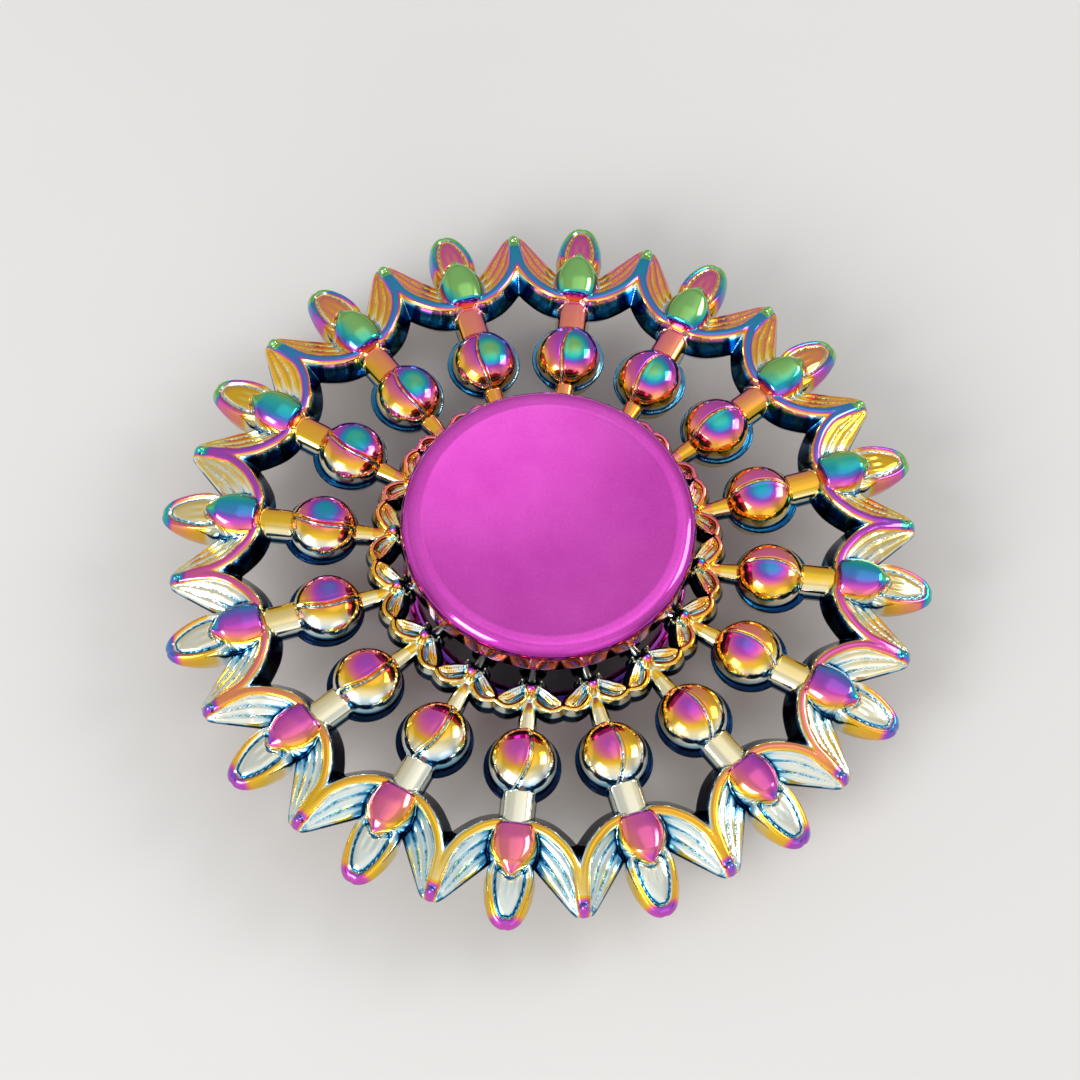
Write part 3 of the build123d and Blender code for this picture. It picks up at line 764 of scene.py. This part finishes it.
# ------------------------------------------------------------------ finger caps, turned
def lathe(name, profile, mat, seg=192):
    """profile: (r, z) points in mm from the axis outwards and back to the axis."""
    p = np.array(profile, float)
    a = np.linspace(0, 2 * math.pi, seg, endpoint=False)
    on_axis = p[:, 0] < 1e-6
    verts, rings = [], []
    for (r, z), ax in zip(p, on_axis):
        if ax:
            rings.append([len(verts)] * seg)
            verts.append((0, 0, z))
        else:
            rings.append(list(range(len(verts), len(verts) + seg)))
            verts += [(r * math.cos(t), r * math.sin(t), z) for t in a]
    faces = []
    for i in range(len(p) - 1):
        A, B = rings[i], rings[i + 1]
        for j in range(seg):
            k = (j + 1) % seg
            q = [A[j], A[k], B[k], B[j]]
            q = list(dict.fromkeys(q))
            if len(q) > 2:
                faces.append(q)
    me = bpy.data.meshes.new(name)
    me.from_pydata([(x * MM, y * MM, z * MM) for x, y, z in verts], [], faces)
    me.validate()
    me.shade_smooth()
    me.materials.append(mat)
    ob = bpy.data.objects.new(name, me)
    bpy.context.scene.collection.objects.link(ob)
    return ob


def arc(cx, cz, r, a0, a1, n):
    return [(cx + r * math.cos(math.radians(a)), cz + r * math.sin(math.radians(a))) for a in np.linspace(a0, a1, n)]


def cap_top(depth=1.0):
    """Upper outline of a cap: dish, crest and rounded edge, as (r, z)."""
    land_in, land_out, top, wall, cap_r = 11.35, 11.95, 7.8, 6.55, 13.2
    big = (land_in**2 + depth**2) / (2 * depth)
    pts = []
    for r in np.linspace(0, land_in - 0.28, 40):
        pts.append((r, top - depth + big - math.sqrt(big * big - r * r)))
    # the dish turns into the rim through a small soft edge
    r0, z0 = pts[-1]
    for t in np.linspace(0, 1, 9)[1:]:
        pts.append((r0 + (land_in + 0.12 - r0) * t, z0 + (top - z0) * (1 - (1 - t) ** 2)))
    pts.append((land_out - 0.1, top))
    cr_ = cap_r - land_out
    pts += arc(land_out, wall, cr_, 90, 0, 22)
    pts += [(cap_r, z) for z in (6.2, 5.6, 5.0, 4.7)]
    pts += arc(cap_r - 0.35, 4.15 + 0.35, 0.35, 0, -90, 8)
    return pts


top_profile = cap_top()
top_profile += [(12.2, 4.15), (9.0, 4.15), (6.2, 4.15), (5.78, 4.12), (5.45, 3.86), (5.4, 3.78), (5.4, 3.56), (5.36, 3.5), (4.6, 3.5), (4.02, 3.5), (3.98, 3.46),
                (3.98, 2.0), (3.98, 0.4), (3.92, 0.3), (3.72, 0.08), (3.68, 0.05), (2.6, 0.05), (2.52, 0.1), (2.52, 2.2), (2.52, 4.2), (2.46, 4.25), (1.0, 4.25), (0.0, 4.25)]
top_cap = lathe("top_cap_turned", top_profile[::-1], CAP)
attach(top_cap, "grip")
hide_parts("top_cap")

bot_profile = [(r, -z) for r, z in cap_top()]
bot_profile += [(12.2, -4.15), (9.0, -4.15), (6.2, -4.15), (5.78, -4.12), (5.45, -3.86), (5.4, -3.78), (5.4, -3.56), (5.36, -3.5), (4.6, -3.5), (4.02, -3.5), (3.98, -3.46),
                (3.98, -2.0), (3.98, -0.4), (3.92, -0.3), (3.72, -0.08), (3.68, -0.05), (2.55, -0.05)]
# the screw, with its thread as turned rings
pitch = 0.8
z = 0.1
while z < 3.5:
    bot_profile += [(2.46, z), (2.46, z + 0.12), (2.12, z + 0.36), (2.12, z + 0.44), (2.46, z + 0.68)]
    z += pitch
bot_profile += [(2.2, 3.78), (2.0, 3.88), (1.0, 3.9), (0.0, 3.9)]
bottom_cap = lathe("bottom_cap_turned", bot_profile, CAP)
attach(bottom_cap, "grip")
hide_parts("bottom_cap")

# ------------------------------------------------------------------ carried-over CAD nodes
LOOKS = {
    "rotor_hub_ring": HUB_PLATING_SHADED,
    "bearing_outer_race": RACE, "bearing_inner_race": RACE,
    "cage_upper_half": CAGE, "cage_lower_half": CAGE, "cage_rivets": RIVET,
    "top_shield": SHIELD, "bottom_shield": SHIELD,
    "top_shield_snap_ring": SPRING, "bottom_shield_snap_ring": SPRING,
}
for k in range(1, 8):
    LOOKS["bearing_ball_%d" % k] = BALL
for name, mat in LOOKS.items():
    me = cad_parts[name].data
    if not me.materials:
        me.materials.append(mat)
    for i in range(len(me.materials)):
        me.materials[i] = mat

# ------------------------------------------------------------------ stage
FLOOR_Z = CAD_BOX[0][2]
me = bpy.data.meshes.new("floor")
s = 3.0
me.from_pydata([(-s, -s, FLOOR_Z), (s, -s, FLOOR_Z), (s, s, FLOOR_Z), (-s, s, FLOOR_Z)], [], [(0, 1, 2, 3)])
floor = bpy.data.objects.new("floor", me)
bpy.context.scene.collection.objects.link(floor)
mat, nt, bsdf = new_mat("floor_paint")
tc = node(nt, "ShaderNodeTexCoord")
nt.links.new(ramp(nt, noise(nt, tc.outputs["Object"], 9.0), [(0.3, (0.58, 0.575, 0.565)), (0.7, (0.62, 0.615, 0.605))], "LINEAR"), bsdf.inputs["Base Color"])
bsdf.inputs["Roughness"].default_value = 0.7
me.materials.append(mat)


def area(name, loc, target, size, power, size_y=None, colour=(1, 1, 1)):
    data = bpy.data.lights.new(name, "AREA")
    data.shape = "RECTANGLE" if size_y else "DISK"
    data.size = size
    if size_y:
        data.size_y = size_y
    data.energy = power
    data.color = colour
    ob = bpy.data.objects.new(name, data)
    bpy.context.scene.collection.objects.link(ob)
    ob.location = loc
    ob.rotation_mode = "QUATERNION"
    ob.rotation_quaternion = (Vector(target) - Vector(loc)).to_track_quat("-Z", "Y")
    return ob


area("key_front_left", (-0.42, -0.50, 0.40), (0, 0, 0), 0.30, 3.4, 0.34)
area("side_right", (0.55, 0.22, 0.42), (0, 0, 0), 0.30, 1.6, 0.30)

world = bpy.data.worlds.new("studio")
bpy.context.scene.world = world
world.use_nodes = True
wn = world.node_tree
bg = wn.nodes["Background"]
wtc = node(wn, "ShaderNodeTexCoord")
wsep = node(wn, "ShaderNodeSeparateXYZ")
wn.links.new(wtc.outputs["Generated"], wsep.inputs[0])
level = node(wn, "ShaderNodeMapRange")
level.inputs["From Min"].default_value = 0.0
level.inputs["From Max"].default_value = 1.0
level.inputs["To Min"].default_value = 0.42
level.inputs["To Max"].default_value = 0.66
wn.links.new(wsep.outputs["Z"], level.inputs["Value"])
glow = level.outputs[0]
# soft panels of the studio: direction, half angle that is full, half angle where it ends, how much it adds
for way, full, end, gain in [
    ((0.20, 0.20, 0.96), 3, 24, 0.42),
    ((0.55, 0.30, 0.78), 6, 26, 0.12),
    ((-0.55, -0.80, 0.22), 10, 30, 0.55),
    ((0.60, -0.76, 0.26), 8, 26, 0.45),
    ((0.96, 0.10, 0.22), 6, 26, 0.30),
    ((-0.96, 0.10, 0.22), 6, 26, 0.30),
    ((0.0, -0.86, 0.50), 22, 62, 0.34),
]:
    w = Vector(way).normalized()
    d = node(wn, "ShaderNodeVectorMath", operation="DOT_PRODUCT")
    wn.links.new(wtc.outputs["Generated"], d.inputs[0])
    d.inputs[1].default_value = w
    mr = node(wn, "ShaderNodeMapRange", interpolation_type="SMOOTHSTEP")
    mr.inputs["From Min"].default_value = math.cos(math.radians(end))
    mr.inputs["From Max"].default_value = math.cos(math.radians(full))
    mr.inputs["To Min"].default_value = 0.0
    mr.inputs["To Max"].default_value = gain
    wn.links.new(d.outputs["Value"], mr.inputs["Value"])
    glow = math_node(wn, "ADD", glow, mr.outputs[0])
wn.links.new(math_node(wn, "MAXIMUM", glow, 0.05), bg.inputs["Strength"])
bg.inputs[0].default_value = (1.0, 0.99, 0.98, 1)

bpy.context.scene.view_settings.view_transform = "Standard"
bpy.context.scene.view_settings.look = "None"
bpy.context.scene.view_settings.exposure = 0.12
